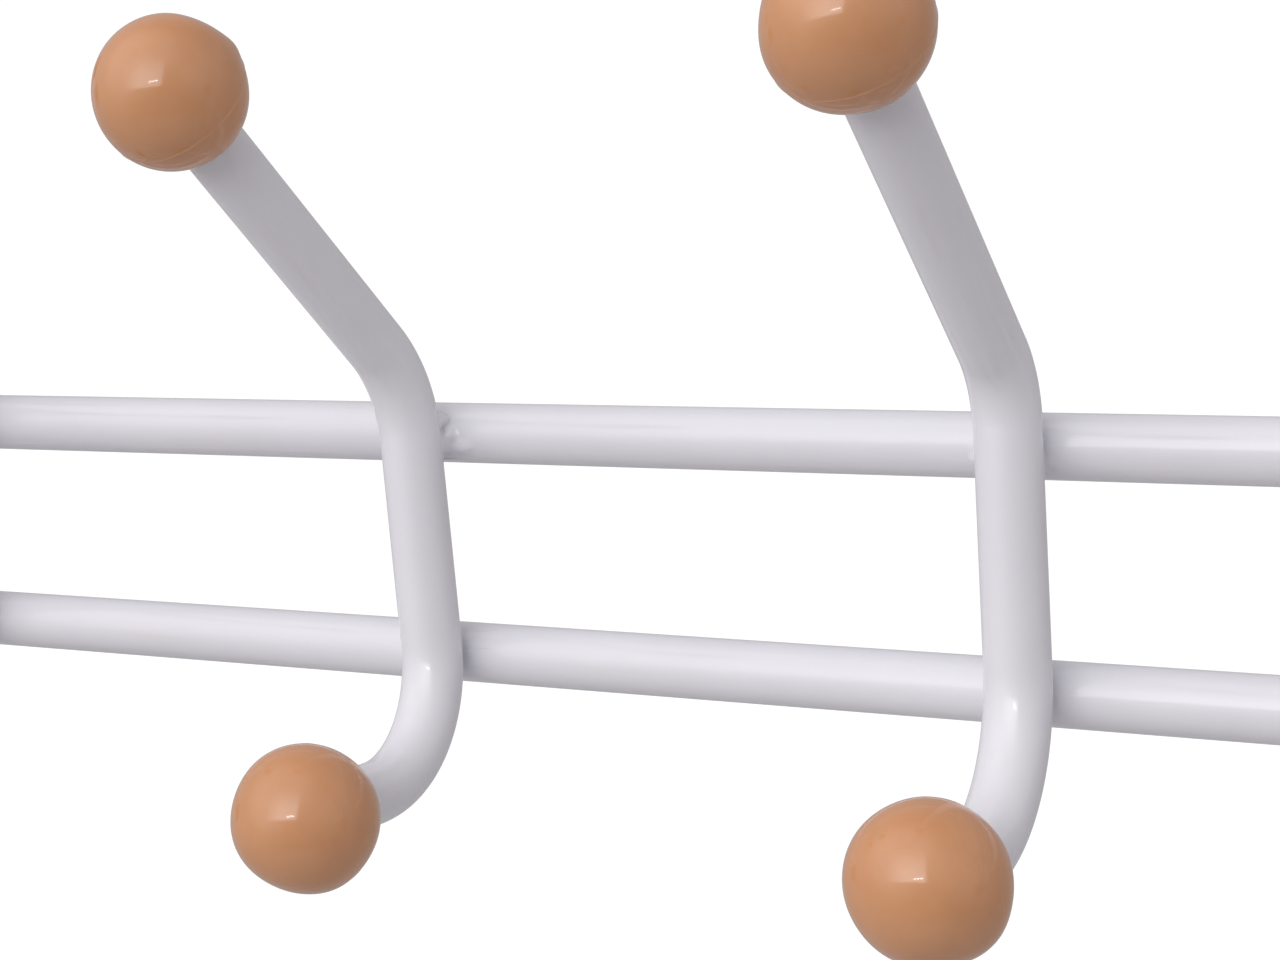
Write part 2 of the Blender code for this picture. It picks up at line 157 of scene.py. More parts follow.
# Balls come out of the mould a little out of round. Angles are in degrees, from the ball's outer pole and
# then round it; height and spread say how far the surface stands out and how wide the swelling is.
Swell = namedtuple("Swell", "polar turn height spread")
SWELLS = {
    "upper_ball_2": [Swell(91, 45, 0.37 * MM, 7), Swell(65, 62, -0.19 * MM, 13)],
    "lower_ball_2": [Swell(93, -69, 0.42 * MM, 15), Swell(63, -113, -0.18 * MM, 15),
                     Swell(87, 110, 0.14 * MM, 15)],
    "upper_ball_3": [Swell(114, -131, 0.19 * MM, 22), Swell(64, -172, -0.25 * MM, 16)],
    "lower_ball_3": [Swell(101, -42, 0.50 * MM, 18), Swell(77, 145, 0.22 * MM, 20),
                     Swell(67, -141, -0.22 * MM, 20)],
}

# Weld beads. A bead fills the corner between a hook and a rail, from a low to a high distance along the hook,
# measured from the rail's axis. Its fill is the width over which the two tubes melt together, and changes
# evenly from the low end to the high end. Blobs lie on it: each has its middle out from the hook's axis,
# behind it and along it, and three radii in the same directions. All of it runs together.
Blob = namedtuple("Blob", "out behind along radius_out radius_behind radius_along")
Weld = namedtuple("Weld", "low high fill_low fill_high blobs")
WELDS = [
    Weld(-5.0 * MM, 5.5 * MM, 4.0 * MM, 3.0 * MM, [
        Blob(4.5 * MM, 5.2 * MM, 3.9 * MM, 1.3 * MM, 2.9 * MM, 1.5 * MM),
        Blob(5.6 * MM, 6.9 * MM, 0.1 * MM, 1.3 * MM, 1.2 * MM, 1.2 * MM),
        Blob(4.2 * MM, 5.0 * MM, -2.1 * MM, 1.3 * MM, 2.8 * MM, 1.6 * MM),
        Blob(7.2 * MM, 7.6 * MM, -2.4 * MM, 2.4 * MM, 0.7 * MM, 1.0 * MM)]),
    Weld(1.6 * MM, 5.3 * MM, 1.5 * MM, 4.5 * MM, []),
    Weld(-5.3 * MM, 1.2 * MM, 7.0 * MM, 0.6 * MM, []),
    Weld(-5.2 * MM, 1.5 * MM, 6.0 * MM, 1.5 * MM, []),
]
WELD_SLICES = 44
WELD_RAYS = 26
WELD_VIEW = 4.5 * MM                # the rays start in the middle of a ball of this radius, set in the corner
WELD_LAST_RAY = math.radians(82)    # way of the ray nearest to the rail, which lies at 90 degrees
WELD_ROOT_X = 2.2 * MM              # the corner's narrow end is filled to here, from the hook's axis
WELD_LEAST_FILL = 0.05 * MM
WELD_DEPTH = 0.6 * MM               # how far the skin goes back inside the tubes
WELD_UNEVENNESS = 0.10 * MM
WELD_GRAIN = 1.4 * MM
WELD_THIN = 0.3 * MM                # a fill thinner than this is less uneven
BLOB_BLEND = 1.6 * MM
BLOB_REACH = 4                      # radii from a blob's middle beyond which it is left out
SKIN_ABOVE = 0.02 * MM
SKIN_BELOW = 0.10 * MM              # depth of the skin's border under the tubes' paint
SKIN_BORDER = 0.2                   # share of the skin's width that its border takes
RAY_STEPS = 80
RAY_CLOSE = 0.002 * MM
RAY_CAUTION = 0.85                  # share of the measured distance that a ray dares to go
RAY_LIMIT = 3 * WELD_VIEW

# ---------------------------------------------------------------- stage and light

FLOOR_RADIUS = 3.0
FLOOR_PLAIN_RADIUS = 1.2
FLOOR_FADED_RADIUS = FLOOR_RADIUS * 0.98
FLOOR_SIDES = 96

# Directions of light are in shares of the photo's right, its up and its way back to the camera. They are
# turned into fixed directions in the world, so they stay where they are in other views.
# The surround's light is a base with lobes. A lobe is at full strength in its direction and fades away until
# the cosine to that direction is down at its start. One with a negative strength takes light away.
SURROUND_SEEN = 1.05                # plain white, where the camera sees it
SURROUND_TINT = (1.02, 0.991, 1.013)
SURROUND_BASE = 0.45
Lobe = namedtuple("Lobe", "direction start strength")
LOBES = [
    Lobe((-0.6, 0.6, 0.5), 0.5, 1.03),          # high in front, at the left
    Lobe((0.6, 0.6, 0.5), 0.5, 0.29),           # high in front, at the right
    Lobe((0.09, -0.55, 0.83), 0.3, -0.34),      # low in front
    Lobe((0.0, 1.0, 0.3), 0.5, -0.38),          # overhead
]

Softbox = namedtuple("Softbox", "name direction distance width height radiance")
KEY = Softbox("key", (-0.62, 0.52, 0.80), 1.1, 1.28, 1.04, 3.2)
GLINT = Softbox("glint", (-0.285, 0.185, 0.94), 1.7, 0.34, 0.03, 22.0)      # makes the streak along the rails
SOFTBOX_ROLL = math.radians(12)
Fade = namedtuple("Fade", "axis dark bright")   # across a softbox's face, which runs from 0 to 1 both ways
KEY_FADES = [Fade("Y", 0.95, 0.0), Fade("Y", -0.02, 0.05), Fade("X", 0.0, 0.65), Fade("X", 1.02, 0.90)]

# ---------------------------------------------------------------- camera

CAMERA_LENS = 70.42
CAMERA_SENSOR = 36.0
CAMERA_YAW = math.radians(28.47)    # turned from +Y towards -X
CAMERA_PITCH = math.radians(5.22)   # downwards
CAMERA_ROLL = math.radians(0.95)
CAMERA_OFFSET = Vector((0.2282, -0.4586, 0.0386))   # from the upper rail, midway between hooks 2 and 3


# ---------------------------------------------------------------- shader helpers

def new_material(name, roughness, metallic=0.0):
    """Material, its node tree and its shader."""
    made = bpy.data.materials.new(name)
    made.use_nodes = True
    tree = made.node_tree
    shader = tree.nodes["Principled BSDF"]
    shader.inputs["Roughness"].default_value = roughness
    shader.inputs["Metallic"].default_value = metallic
    return made, tree, shader


def object_noise(tree, scale, detail=2.0, roughness=0.5):
    """Noise in metres on the object, so that a scale of 1000 gives grains about a millimetre wide."""
    place = tree.nodes.new("ShaderNodeTexCoord")
    made = tree.nodes.new("ShaderNodeTexNoise")
    made.inputs["Scale"].default_value = scale
    made.inputs["Detail"].default_value = detail
    made.inputs["Roughness"].default_value = roughness
    tree.links.new(place.outputs["Object"], made.inputs["Vector"])
    return made.outputs["Fac"]


def colour_between(tree, factor, first, second):
    """Colour that goes from first to second over the middle of a noise's range."""
    ramp = tree.nodes.new("ShaderNodeValToRGB")
    ramp.color_ramp.elements[0].position = 0.35
    ramp.color_ramp.elements[0].color = (*first, 1)
    ramp.color_ramp.elements[1].position = 0.65
    ramp.color_ramp.elements[1].color = (*second, 1)
    tree.links.new(factor, ramp.inputs["Fac"])
    return ramp.outputs["Color"]


def number_between(tree, factor, first, second):
    """Number that goes from first to second over the middle of a noise's range."""
    spread = tree.nodes.new("ShaderNodeMapRange")
    spread.inputs["From Min"].default_value = 0.3
    spread.inputs["From Max"].default_value = 0.7
    spread.inputs["To Min"].default_value = first
    spread.inputs["To Max"].default_value = second
    tree.links.new(factor, spread.inputs["Value"])
    return spread.outputs["Result"]


def smooth_rise(tree, value, low, high):
    """0 below low, 1 above high and smooth between them. low may be the higher of the two."""
    rise = tree.nodes.new("ShaderNodeMapRange")
    rise.interpolation_type = "SMOOTHSTEP"
    rise.inputs["From Min"].default_value = low
    rise.inputs["From Max"].default_value = high
    tree.links.new(value, rise.inputs["Value"])
    return rise.outputs["Result"]


def calculation(tree, operation, first, second):
    """Output of a Math node. An operand is a socket or a number."""
    node = tree.nodes.new("ShaderNodeMath")
    node.operation = operation
    for socket, operand in zip(node.inputs, (first, second)):
        if isinstance(operand, float):
            socket.default_value = operand
        else:
            tree.links.new(operand, socket)
    return node.outputs["Value"]


def add_bumps(tree, shader, layers):
    """Bump nodes in a chain, from (height output, height of the bumps in metres) pairs."""
    normal = None
    for height, distance in layers:
        bump = tree.nodes.new("ShaderNodeBump")
        bump.inputs["Strength"].default_value = 1.0
        bump.inputs["Distance"].default_value = distance
        tree.links.new(height, bump.inputs["Height"])
        if normal:
            tree.links.new(normal, bump.inputs["Normal"])
        normal = bump.outputs["Normal"]
    tree.links.new(normal, shader.inputs["Normal"])


# ---------------------------------------------------------------- materials

def white_powder_coat():
    """Glossy white coat with a faint lilac cast, slight clouding, long waves and fine orange peel."""
    made, tree, shader = new_material("white_powder_coat", 0.12)
    clouds = object_noise(tree, 45, 3)
    colour = colour_between(tree, clouds, (0.789, 0.788, 0.834), (0.803, 0.802, 0.848))
    tree.links.new(colour, shader.inputs["Base Color"])
    gloss = object_noise(tree, 110, 2)
    tree.links.new(number_between(tree, gloss, 0.10, 0.15), shader.inputs["Roughness"])
    waves = object_noise(tree, 140, 1)
    peel = object_noise(tree, 480, 1)
    add_bumps(tree, shader, [(waves, 0.07 * MM), (peel, 0.006 * MM)])
    return made


def tan_ball_plastic():
    """Moulded glossy plastic, tan, with slight flow clouding and shallow moulded waves."""
    made, tree, shader = new_material("tan_ball_plastic", 0.12)
    clouds = object_noise(tree, 75, 3, 0.6)
    colour = colour_between(tree, clouds, (0.602, 0.291, 0.141), (0.636, 0.309, 0.153))
    tree.links.new(colour, shader.inputs["Base Color"])
    gloss = object_noise(tree, 150, 2)
    tree.links.new(number_between(tree, gloss, 0.07, 0.10), shader.inputs["Roughness"])
    waves = object_noise(tree, 130, 1)
    grain = object_noise(tree, 900, 1)
    add_bumps(tree, shader, [(waves, 0.06 * MM), (grain, 0.002 * MM)])
    return made


def cap_plastic():
    """Matt off-white moulded plastic with a spark-eroded grain."""
    made, tree, shader = new_material("cap_plastic", 0.55)
    clouds = object_noise(tree, 90, 3)
    colour = colour_between(tree, clouds, (0.66, 0.65, 0.66), (0.71, 0.70, 0.71))
    tree.links.new(colour, shader.inputs["Base Color"])
    gloss = object_noise(tree, 400, 2)
    tree.links.new(number_between(tree, gloss, 0.48, 0.6), shader.inputs["Roughness"])
    grain = object_noise(tree, 1800, 3, 0.7)
    add_bumps(tree, shader, [(grain, 0.02 * MM)])
    return made


def plated_steel():
    """Zinc-plated steel, faintly mottled."""
    made, tree, shader = new_material("plated_steel", 0.3, 1.0)
    mottle = object_noise(tree, 700, 3, 0.6)
    colour = colour_between(tree, mottle, (0.56, 0.57, 0.60), (0.68, 0.68, 0.68))
    tree.links.new(colour, shader.inputs["Base Color"])
    tree.links.new(number_between(tree, mottle, 0.24, 0.38), shader.inputs["Roughness"])
    grain = object_noise(tree, 2500, 2)
    add_bumps(tree, shader, [(grain, 0.004 * MM)])
    return made


def pale_floor():
    """Plain pale floor that fades into the white surround at its edge."""
    made, tree, shader = new_material("pale_floor", 0.75)
    clouds = object_noise(tree, 2.5, 3)
    colour = colour_between(tree, clouds, (0.72, 0.72, 0.72), (0.75, 0.75, 0.75))
    tree.links.new(colour, shader.inputs["Base Color"])
    place = tree.nodes.new("ShaderNodeTexCoord")
    length = tree.nodes.new("ShaderNodeVectorMath")
    length.operation = "LENGTH"
    tree.links.new(place.outputs["Object"], length.inputs[0])
    fade = smooth_rise(tree, length.outputs["Value"], FLOOR_PLAIN_RADIUS, FLOOR_FADED_RADIUS)
    surround = tree.nodes.new("ShaderNodeBsdfTransparent")
    mixed = tree.nodes.new("ShaderNodeMixShader")
    tree.links.new(fade, mixed.inputs["Fac"])
    tree.links.new(shader.outputs["BSDF"], mixed.inputs[1])
    tree.links.new(surround.outputs["BSDF"], mixed.inputs[2])
    tree.links.new(mixed.outputs["Shader"], tree.nodes["Material Output"].inputs["Surface"])
    return made


# ---------------------------------------------------------------- mesh helpers

def add_ring(shape, points):
    """Points of a ring, not yet joined."""
    return [shape.verts.new(point) for point in points]


def bridge(shape, first, second):
    """Quads between two rings of the same length."""
    count = len(first)
    for i in range(count):
        j = (i + 1) % count
        shape.faces.new((first[i], first[j], second[j], second[i]))


def fan(shape, pole, ring):
    """Triangles from a point to each side of a ring."""
    count = len(ring)
    for i in range(count):
        shape.faces.new((pole, ring[i], ring[(i + 1) % count]))


def loop_skin(shape, rings):
    """Skin over a list of rings that comes round to the first one again."""
    made = [add_ring(shape, ring) for ring in rings]
    for first, second in zip(made, made[1:] + made[:1]):
        bridge(shape, first, second)


def skin(shape, rings):
    """Closed skin over a list of rings. A ring of one point is a pole, and the first and last are closed."""
    made = [add_ring(shape, ring) for ring in rings]
    for first, second in zip(made, made[1:]):
        if len(first) == 1:
            fan(shape, first[0], second)
        elif len(second) == 1:
            fan(shape, second[0], first)
        else:
            bridge(shape, first, second)
    for end in (made[0], made[-1]):
        if len(end) > 1:
            shape.faces.new(end)


def circle(radius, height, sides):
    """Ring about Z, or its pole if the radius is nothing."""
    if radius < 1e-7:
        return [Vector((0, 0, height))]
    turns = (2 * math.pi * i / sides for i in range(sides))
    return [Vector((radius * math.cos(turn), radius * math.sin(turn), height)) for turn in turns]


def turned(shape, profile, sides):
    """Skin of a (radius, height) profile turned about Z, from pole to pole."""
    skin(shape, [circle(radius, height, sides) for radius, height in profile])


def quarter(radius, height, corner, turn):
    """(radius, height) points of a rounded corner, from angle turn through a quarter turn clockwise."""
    angles = [turn - math.pi / 2 * i / CORNER_STEPS for i in range(CORNER_STEPS + 1)]
    return [(radius + corner * math.cos(a), height + corner * math.sin(a)) for a in angles]


def new_piece(name, shape, material, matrix=None):
    """A visible piece made from a bmesh. It stands for the CAD node of the same name."""
    bmesh.ops.recalc_face_normals(shape, faces=shape.faces)
    mesh = bpy.data.meshes.new(name)
    shape.to_mesh(mesh)
    shape.free()
    if matrix:
        mesh.transform(matrix)
    mesh.shade_smooth()
    mesh.set_sharp_from_angle(angle=SHARP_ANGLE)
    mesh.materials.append(material)
    piece = bpy.data.objects.new(name + "_look", mesh)
    bpy.context.scene.collection.objects.link(piece)
    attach(piece, BODY)
    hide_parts(name)


# ---------------------------------------------------------------- bent tubes

# A point on a tube's axis. turn is its heading, 0 straight down, and oval is how far the tube is flattened.
Station = namedtuple("Station", "y z turn oval", defaults=[0.0])


def straight(start, end, turn):
    """Stations from start to end, both (y, z), without the last one."""
    length = math.dist(start, end)
    count = max(1, math.ceil(length / STRAIGHT_STEP))
    step_y = (end[0] - start[0]) / count
    step_z = (end[1] - start[1]) / count
    return [Station(start[0] + step_y * i, start[1] + step_z * i, turn) for i in range(count)]


def bend(centre_y, centre_z, radius, start, end):
    """Stations round a bend whose centre is given, both ends included."""
    count = math.ceil(abs(end - start) / BEND_STEP)
    stations = []
    for i in range(count + 1):
        turn = start + (end - start) * i / count
        oval = BEND_OVAL * math.sin(math.pi * i / count) ** 0.5 if 0 < i < count else 0.0
        y = centre_y + radius * math.cos(turn)
        z = centre_z + radius * math.sin(turn)
        stations.append(Station(y, z, turn, oval))
    return stations


def tube_ring(station, radius):
    """Ring of a tube across its axis at a station."""
    across = (1 + station.oval) * Vector((1, 0, 0))
    outwards = (1 - station.oval) * Vector((0, math.cos(station.turn), math.sin(station.turn)))
    middle = Vector((0, station.y, station.z))
    turns = (2 * math.pi * i / TUBE_SIDES for i in range(TUBE_SIDES))
    return [middle + radius * (math.cos(turn) * across + math.sin(turn) * outwards) for turn in turns]


def shifted(station, distance):
    """The station moved along its heading."""
    return Station(station.y + distance * math.sin(station.turn),
                   station.z - distance * math.cos(station.turn), station.turn)


def bent_tube(shape, stations, radius, wall):
    """Tube along the stations, with its ends open and their rims rounded."""
    rim = wall * 0.3
    bore = radius - wall
    first, last = stations[0], stations[-1]
    deep_first, deep_last = shifted(first, OPEN_DEPTH), shifted(last, -OPEN_DEPTH)
    rings = [[Vector((0, deep_first.y, deep_first.z))], tube_ring(deep_first, bore),
             tube_ring(shifted(first, rim), bore), tube_ring(first, bore + rim),
             tube_ring(first, radius - rim), tube_ring(shifted(first, rim), radius)]
    rings += [tube_ring(station, radius) for station in stations[1:-1]]
    rings += [tube_ring(shifted(last, -rim), radius), tube_ring(last, radius - rim),
              tube_ring(last, bore + rim), tube_ring(shifted(last, -rim), bore),
              tube_ring(deep_last, bore), [Vector((0, deep_last.y, deep_last.z))]]
    skin(shape, rings)


# ---------------------------------------------------------------- hooks

def hook_matrix(number):
    """From a hook's own frame, its upright on the Z axis and the upper rail at height 0, to the world."""
    hook = HOOKS[number - 1]
    across = (number - (len(HOOKS) + 1) / 2) * HOOK_PITCH
    pivot = Matrix.Translation((across, -RAIL_BEHIND_HOOK, UPPER_RAIL_Z - RAIL_PITCH / 2))
    return pivot @ Matrix.Rotation(hook.lean, 4, "Y") @ Matrix.Translation((0, 0, RAIL_PITCH / 2))


def hook_ends(jig):
    """(y, z) of the upper and lower ball's centres."""
    upper = (jig.bend_radius * (math.cos(jig.arm_angle) - 1) - jig.arm_length * math.sin(jig.arm_angle),
             jig.bend_start + jig.bend_radius * math.sin(jig.arm_angle)
             + jig.arm_length * math.cos(jig.arm_angle))
    lower = (jig.crook_radius * (math.cos(jig.crook_angle) - 1) - jig.tail_length * math.sin(jig.crook_angle),
             jig.crook_start - jig.crook_radius * math.sin(jig.crook_angle)
             - jig.tail_length * math.cos(jig.crook_angle))
    return upper, lower


def hook_stations(jig):
    """Stations down a hook from its upper end to its lower end."""
    upper, lower = hook_ends(jig)
    start = shifted(Station(*upper, jig.arm_angle), HOOK_END_SETBACK)
    end = shifted(Station(*lower, -jig.crook_angle), -HOOK_END_SETBACK)
    arm_bend = bend(-jig.bend_radius, jig.bend_start, jig.bend_radius, jig.arm_angle, 0)
    crook = bend(-jig.crook_radius, jig.crook_start, jig.crook_radius, 0, -jig.crook_angle)
    stations = straight((start.y, start.z), (arm_bend[0].y, arm_bend[0].z), jig.arm_angle)
    stations += arm_bend[:-1]
    stations += straight((arm_bend[-1].y, arm_bend[-1].z), (crook[0].y, crook[0].z), 0)
    stations += crook[:-1]
    stations += straight((crook[-1].y, crook[-1].z), (end.y, end.z), -jig.crook_angle)
    return stations + [end]


def upright_y(jig, height):
    """Y of the hook's axis at a height near its upright, where a bend may have begun."""
    if height > jig.bend_start:
        return math.sqrt(jig.bend_radius ** 2 - (height - jig.bend_start) ** 2) - jig.bend_radius
    if height < jig.crook_start:
        return math.sqrt(jig.crook_radius ** 2 - (jig.crook_start - height) ** 2) - jig.crook_radius
    return 0.0


def melt(first, second, width):
    """The lesser of two distances, rounded off where they come within a width of each other."""
    near = max(0.0, 1 - abs(first - second) / width)
    return min(first, second) - near * near * width / 4


def weld_share(hook, side, weld, along):
    """Where a slice is on its weld, from -1 at its low end to 1 at its high end."""
    off_axis = along - side * TUBE_RADIUS * math.tan(hook.lean)
    return (2 * off_axis - weld.low - weld.high) / (weld.high - weld.low)


def weld_surface(hook, side, level, weld, along):
    """Distance function of (x, y) to the welded corner's surface, in one slice across the hook."""
    hook_y = upright_y(hook.jig, level + along)
    share = weld_share(hook, side, weld, along)
    ends_off = 1 - share ** 4
    root_x = WELD_ROOT_X * ends_off
    fill = weld.fill_low + (weld.fill_high - weld.fill_low) * (share + 1) / 2
    fill = max(WELD_LEAST_FILL, fill * max(0.0, ends_off))
    edge = 0.95 * TUBE_RADIUS

    def distance(x, y):
        off_axis = along - side * x * math.tan(hook.lean)
        off_axis = max(-edge, min(edge, off_axis))
        from_hook = math.hypot(x, y - hook_y) - TUBE_RADIUS
        from_rail = math.hypot(off_axis, y - RAIL_BEHIND_HOOK) - TUBE_RADIUS
        plain = min(from_hook, from_rail, x - root_x)
        found = min(melt(from_hook, from_rail, fill), x - root_x)
        for blob in weld.blobs:
            px = (x - blob.out) / blob.radius_out
            py = (y - hook_y - blob.behind) / blob.radius_behind
            pz = (off_axis - blob.along) / blob.radius_along
            size = math.sqrt(px * px + py * py + pz * pz)
            slope = math.sqrt((px / blob.radius_out) ** 2 + (py / blob.radius_behind) ** 2
                              + (pz / blob.radius_along) ** 2)
            if size < BLOB_REACH:
                from_blob = size * (size - 1) / max(slope, 1.0)
                found = melt(found, from_blob, BLOB_BLEND)
        filled = min(1.0, (plain - found) / WELD_THIN)
        if filled > 0:
            place = Vector((x, y, along)) / WELD_GRAIN + Vector((level / MM, side, 0.5))
            found -= WELD_UNEVENNESS * filled * noise.noise(place)
        return found

    return distance


def ray_end(distance, x, y, step_x, step_y):
    """How far a ray goes from a point before it meets a surface."""
    gone = 0.0
    for _ in range(RAY_STEPS):
        gap = distance(x + gone * step_x, y + gone * step_y)
        if gap < RAY_CLOSE:
            break
        gone += RAY_CAUTION * gap
    return min(gone, RAY_LIMIT)


def weld_slice(hook, side, level, weld, along):
    """Closed ring of one slice: the welded corner's surface, and back through the tubes."""
    distance = weld_surface(hook, side, level, weld, along)
    hook_y = upright_y(hook.jig, level + along)
    off_axis = along - side * TUBE_RADIUS * math.tan(hook.lean)
    face_y = RAIL_BEHIND_HOOK - math.sqrt(TUBE_RADIUS ** 2 - off_axis ** 2)
    y = face_y - WELD_VIEW
    x = math.sqrt(max(0.0, (TUBE_RADIUS + WELD_VIEW) ** 2 - (y - hook_y) ** 2))
    first_ray = math.pi + math.atan2(y - hook_y, x)
    rim = 1 - abs(weld_share(hook, side, weld, along))
    points = []
    for j in range(WELD_RAYS + 1):
        across = j / WELD_RAYS
        turn = first_ray + (WELD_LAST_RAY - first_ray) * across
        border = min(1.0, min(across, 1 - across, rim) / SKIN_BORDER)
        push = SKIN_ABOVE - (SKIN_ABOVE + SKIN_BELOW) * (1 - border) ** 2
        reach = ray_end(distance, x, y, math.cos(turn), math.sin(turn)) - push
        points.append(Vector((x + reach * math.cos(turn), y + reach * math.sin(turn), 0)))
    first, last = points[0], points[-1]
    hook_axis = Vector((0, hook_y, 0))
    points.append(last + Vector((0, WELD_DEPTH, 0)))
    points.append(Vector((-WELD_DEPTH, face_y + WELD_DEPTH, 0)))
    points.append(Vector((-WELD_DEPTH, hook_y + TUBE_RADIUS - 2 * WELD_DEPTH, 0)))
    points.append(first + (hook_axis - first).normalized() * WELD_DEPTH)
    return [Vector((side * point.x, point.y, level + along)) for point in points]


def weld_bead(shape, hook, side, level, weld):
    """Skin over the corner between a hook and a rail, on one side of the hook."""
    slices = []
    for i in range(WELD_SLICES + 1):
        along = weld.low + (weld.high - weld.low) * i / WELD_SLICES + side * TUBE_RADIUS * math.tan(hook.lean)
        slices.append(weld_slice(hook, side, level, weld, along))
    skin(shape, slices)


def make_hook(number, paint):
    """Bent tube with a weld on each side at both rails. The welds' shapes take turns."""
    hook = HOOKS[number - 1]
    shape = bmesh.new()
    bent_tube(shape, hook_stations(hook.jig), TUBE_RADIUS, TUBE_WALL)
    for row, level in enumerate((0, -RAIL_PITCH)):
        for side in (1, -1):
            weld_bead(shape, hook, side, level, WELDS[(2 * number + row + 1 - side) % len(WELDS)])
    new_piece(f"hook_{number}", shape, paint, matrix=hook_matrix(number))


def ball_profile(radius, parting, parting_height, bore, socket_floor):
    """(radius, height) outline of a ball from its outer pole to its socket, with a raised parting line."""
    mouth = bore + SOCKET_CHAMFER
    rim = math.pi - math.asin(mouth / radius)
    seam = math.acos(parting / radius)
    line = PARTING_WIDTH / radius
    fine = [seam + line * k / 2 for k in range(-PARTING_STEPS, PARTING_STEPS + 1)]
    coarse = [rim * i / BALL_STEPS for i in range(BALL_STEPS + 1)]
    angles = sorted([a for a in coarse if abs(a - seam) > line * PARTING_CLEAR] + fine)
    profile = []
    for angle in angles:
        off_seam = (angle - seam) * radius / PARTING_WIDTH
        reach = radius + parting_height * math.exp(-off_seam ** 2)
        profile.append((reach * math.sin(angle), reach * math.cos(angle)))
    edge = profile[-1][1]
    profile[0] = (0, radius)
    profile += [(bore, edge + SOCKET_CHAMFER), (bore, socket_floor), (0, socket_floor)]
    return profile


def make_uneven(shape, swells, seed):
    """Moves a ball's outside in and out: shallow unevenness, and the swells named for it."""
    directions = []
    for swell in swells:
        polar, turn = math.radians(swell.polar), math.radians(swell.turn)
        across = math.sin(polar)
        directions.append(Vector((across * math.cos(turn), across * math.sin(turn), math.cos(polar))))
    waves_from = Vector((seed * 5.3, 1.7, 2.9))
    for vert in shape.verts:
        length = vert.co.length
        if length < BALL_OUTSIDE:
            continue
        way = vert.co / length
        push = BALL_UNEVENNESS * noise.noise(way * BALL_WAVES + waves_from)
        for swell, direction in zip(swells, directions):
            push += swell.height * math.exp(-(way.angle(direction) / math.radians(swell.spread)) ** 2 / 2)
        vert.co = way * (length + push)


def make_ball(level, number, plastic):
    """Ball on a hook's upper or lower end, its socket over the tube."""
    jig = HOOKS[number - 1].jig
    upper, lower = hook_ends(jig)
    if level == "upper":
        (y, z), tilt, parting_height = upper, jig.arm_angle, PARTING_HEIGHT
    else:
        (y, z), tilt, parting_height = lower, math.pi - jig.crook_angle, LOWER_PARTING_HEIGHT
    name = f"{level}_ball_{number}"
    shape = bmesh.new()
    bore = TUBE_RADIUS + SOCKET_CLEARANCE
    turned(shape, ball_profile(BALL_RADIUS, PARTING_OFFSET, parting_height, bore, SOCKET_FLOOR), BALL_SIDES)
    make_uneven(shape, SWELLS.get(name, []), number if level == "upper" else -number)
    place = hook_matrix(number) @ Matrix.Translation((0, y, z)) @ Matrix.Rotation(tilt, 4, "X")
    new_piece(name, shape, plastic, matrix=place)


# ---------------------------------------------------------------- rails, posts and fixings

def make_rail(name, paint):
    """Straight tube between the posts, its ends cut to saddle them."""
    height = centre(name).z

    def saddle(side, radius):
        ring = []
        for i in range(TUBE_SIDES):
            turn = 2 * math.pi * i / TUBE_SIDES
            y = radius * math.cos(turn)
            end = POST_X - math.sqrt(POST_RADIUS ** 2 - y ** 2) - SEAT_GAP
            ring.append(Vector((side * end, y, height + radius * math.sin(turn))))
        return ring

    bore = TUBE_RADIUS - TUBE_WALL
    shape = bmesh.new()
    loop_skin(shape, [saddle(-1, TUBE_RADIUS), saddle(1, TUBE_RADIUS), saddle(1, bore), saddle(-1, bore)])
    new_piece(name, shape, paint)


def make_post(side, sign, paint):
    """The two halves of a post: tubes with eased rims."""
    bore = POST_RADIUS - TUBE_WALL
    ease = POST_RIM * 0.6
    for half, low, high in (("lower", POST_FOOT_Z, POST_SPLIT_Z - GAP / 2),
                            ("upper", POST_SPLIT_Z + GAP / 2, POST_TOP_Z)):
        profile = [(bore, high - POST_RIM), (bore + ease, high), (POST_RADIUS - ease, high),
                   (POST_RADIUS, high - POST_RIM), (POST_RADIUS, low + POST_RIM), (POST_RADIUS - ease, low),
                   (bore + ease, low), (bore, low + POST_RIM)]
        shape = bmesh.new()
        loop_skin(shape, [circle(radius, height, TUBE_SIDES) for radius, height in profile])
        new_piece(f"post_{half}_{side}", shape, paint,
                  matrix=Matrix.Translation((sign * POST_X, 0, 0)))


def make_finial(side, sign, plastic):
    """Ball on the post's top, with a flat seat and a stem inside the post."""
    name = f"post_finial_{side}"
    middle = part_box(name)[1].z - FINIAL_RADIUS
    post_top = POST_TOP_Z - middle
    seat_height = -FINIAL_RADIUS * math.cos(math.asin(FINIAL_SEAT_RADIUS / FINIAL_RADIUS))
    radius = FINIAL_RADIUS - PARTING_HEIGHT
    ball = ball_profile(radius, 0.0, PARTING_HEIGHT, FINIAL_SEAT_RADIUS - SOCKET_CHAMFER, 0)
    ball = [point for point in ball if point[1] > seat_height and point[0] > 0]
    stem = POST_RADIUS - TUBE_WALL - GAP
    stem_end = post_top - FINIAL_STEM_LENGTH
    profile = [(0, radius)] + ball[:-1]
    profile += [(FINIAL_SEAT_RADIUS, post_top + SEAT_GAP), (stem, post_top + SEAT_GAP), (stem, stem_end),
                (stem - FINIAL_STEM_CHAMFER, stem_end - FINIAL_STEM_CHAMFER),
                (0, stem_end - FINIAL_STEM_CHAMFER)]
    shape = bmesh.new()
    turned(shape, profile, BALL_SIDES)
    new_piece(name, shape, plastic,
              matrix=Matrix.Translation((sign * POST_X, 0, middle)))


